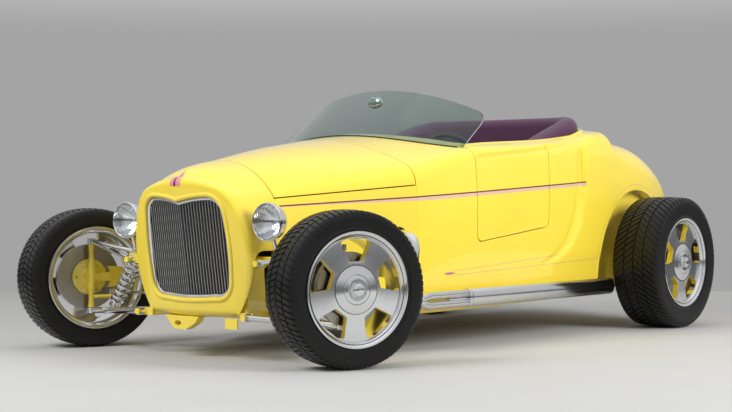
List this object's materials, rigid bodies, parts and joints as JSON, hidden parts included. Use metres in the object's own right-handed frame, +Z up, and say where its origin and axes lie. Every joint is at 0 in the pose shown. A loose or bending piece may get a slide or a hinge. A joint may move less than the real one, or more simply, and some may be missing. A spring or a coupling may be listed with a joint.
{
  "type": "street rod roadster",
  "caption": "Open two-seat street rod with a slim nose, open front wheels, side pipes, cut-down curved windscreen, doors, hood and deck lid that open, and steering that turns.",
  "frame": {"origin": "on the ground under the middle of the whole car as it stands, front wheels turned to the right", "axes": "+Y towards the rear, +X towards the car's left side, +Z up"},
  "size_m": [1.9534, 3.6527, 1.2089],
  "materials": {
    "frame_paint": "gloss yellow paint",
    "body_paint": "gloss lemon yellow paint",
    "bright_chrome": "polished",
    "polished_alloy": "polished",
    "tyre_rubber": "matt black",
    "disc_iron": "turned, faint rust",
    "purple_leather": "soft, rolled edges",
    "screen_glass": "clear, grey-green tint",
    "lamp_glass": "clear",
    "red_glass": "red lens",
    "mirror_face": "mirror in a chrome shell",
    "black_plastic": "satin black",
    "engine_metal": "satin grey",
    "floor_steel": "satin black paint"
  },
  "bodies": {
    "chassis": {"chassis_frame": "frame_paint", "nose_shell": "body_paint", "grille": "polished_alloy", "radiator": "black_plastic", "hood_sides": "body_paint", "body_tub": "body_paint", "rear_deck": "body_paint", "floor_pan": "floor_steel", "engine": "engine_metal", "dashboard": "body_paint", "seat_cushion": "purple_leather", "seat_back": "purple_leather", "steering_column": "bright_chrome", "windscreen": "screen_glass", "mirror": "mirror_face", "headlamps": "bright_chrome", "headlamp_lenses": "lamp_glass", "tail_lamps": "red_glass", "suspension_arms": "bright_chrome", "coilovers": "bright_chrome", "rear_axle": "frame_paint", "exhausts": "polished_alloy"},
    "rack": {"steering_rack": "bright_chrome"},
    "steering_wheel": {"steering_wheel": "black_plastic"},
    "door_left": {"door_left": "body_paint"},
    "door_right": {"door_right": "body_paint"},
    "hood": {"hood_top": "body_paint"},
    "deck_lid": {"deck_lid": "body_paint"},
    "knuckle_left": {"knuckle_left": "frame_paint"},
    "wheel_front_left": {"wheel_front_left": "polished_alloy", "tyre_front_left": "tyre_rubber", "disc_front_left": "disc_iron"},
    "wheel_rear_left": {"wheel_rear_left": "polished_alloy", "tyre_rear_left": "tyre_rubber", "disc_rear_left": "disc_iron"},
    "knuckle_right": {"knuckle_right": "frame_paint"},
    "wheel_front_right": {"wheel_front_right": "polished_alloy", "tyre_front_right": "tyre_rubber", "disc_front_right": "disc_iron"},
    "wheel_rear_right": {"wheel_rear_right": "polished_alloy", "tyre_rear_right": "tyre_rubber", "disc_rear_right": "disc_iron"}
  },
  "joints": [
    {"name": "steer_left", "type": "hinge", "parent": "chassis", "child": "knuckle_left", "pos_m": [0.751, -1.493, 0.318], "axis": [0, 0, 1], "range_deg": [-12, 52]},
    {"name": "steer_right", "type": "hinge", "parent": "chassis", "child": "knuckle_right", "pos_m": [-0.751, -1.493, 0.318], "axis": [0, 0, 1], "range_deg": [-12, 52]},
    {"name": "rack_slide", "type": "slide", "parent": "chassis", "child": "rack", "axis": [1, 0, 0], "range_m": [-0.085, 0.02]},
    {"name": "steering_turn", "type": "hinge", "parent": "chassis", "child": "steering_wheel", "pos_m": [0.27, -0.048, 0.832], "axis": [0, 0.9135, 0.4067], "range_deg": [-170, 730]},
    {"name": "spin_front_left", "type": "hinge", "parent": "knuckle_left", "child": "wheel_front_left", "pos_m": [0.77731, -1.50258, 0.318], "axis": [0.9397, -0.342, 0], "continuous": true},
    {"name": "spin_front_right", "type": "hinge", "parent": "knuckle_right", "child": "wheel_front_right", "pos_m": [-0.77731, -1.48342, 0.318], "axis": [0.9397, -0.342, 0], "continuous": true},
    {"name": "spin_rear_left", "type": "hinge", "parent": "chassis", "child": "wheel_rear_left", "pos_m": [0.797, 1.147, 0.3446], "axis": [1, 0, 0], "continuous": true},
    {"name": "spin_rear_right", "type": "hinge", "parent": "chassis", "child": "wheel_rear_right", "pos_m": [-0.797, 1.147, 0.3446], "axis": [1, 0, 0], "continuous": true},
    {"name": "door_left_swing", "type": "hinge", "parent": "chassis", "child": "door_left", "pos_m": [0.637, -0.3746, 0.6], "axis": [0, 0, -1], "range_deg": [0, 65]},
    {"name": "door_right_swing", "type": "hinge", "parent": "chassis", "child": "door_right", "pos_m": [-0.637, -0.3746, 0.6], "axis": [0, 0, 1], "range_deg": [0, 65]},
    {"name": "hood_lift", "type": "hinge", "parent": "chassis", "child": "hood", "pos_m": [0, -0.7914, 0.9509], "axis": [-1, 0, 0], "range_deg": [0, 50]},
    {"name": "deck_lid_lift", "type": "hinge", "parent": "chassis", "child": "deck_lid", "pos_m": [0, 0.9554, 1.035], "axis": [1, 0, 0], "range_deg": [0, 60]}
  ],
  "couplings": [
    {"joint": "steer_right", "follows": "steer_left", "ratio": 1},
    {"joint": "rack_slide", "follows": "steer_left", "m_per_rad": -0.0905},
    {"joint": "steering_turn", "follows": "steer_left", "ratio": 14}
  ]
}
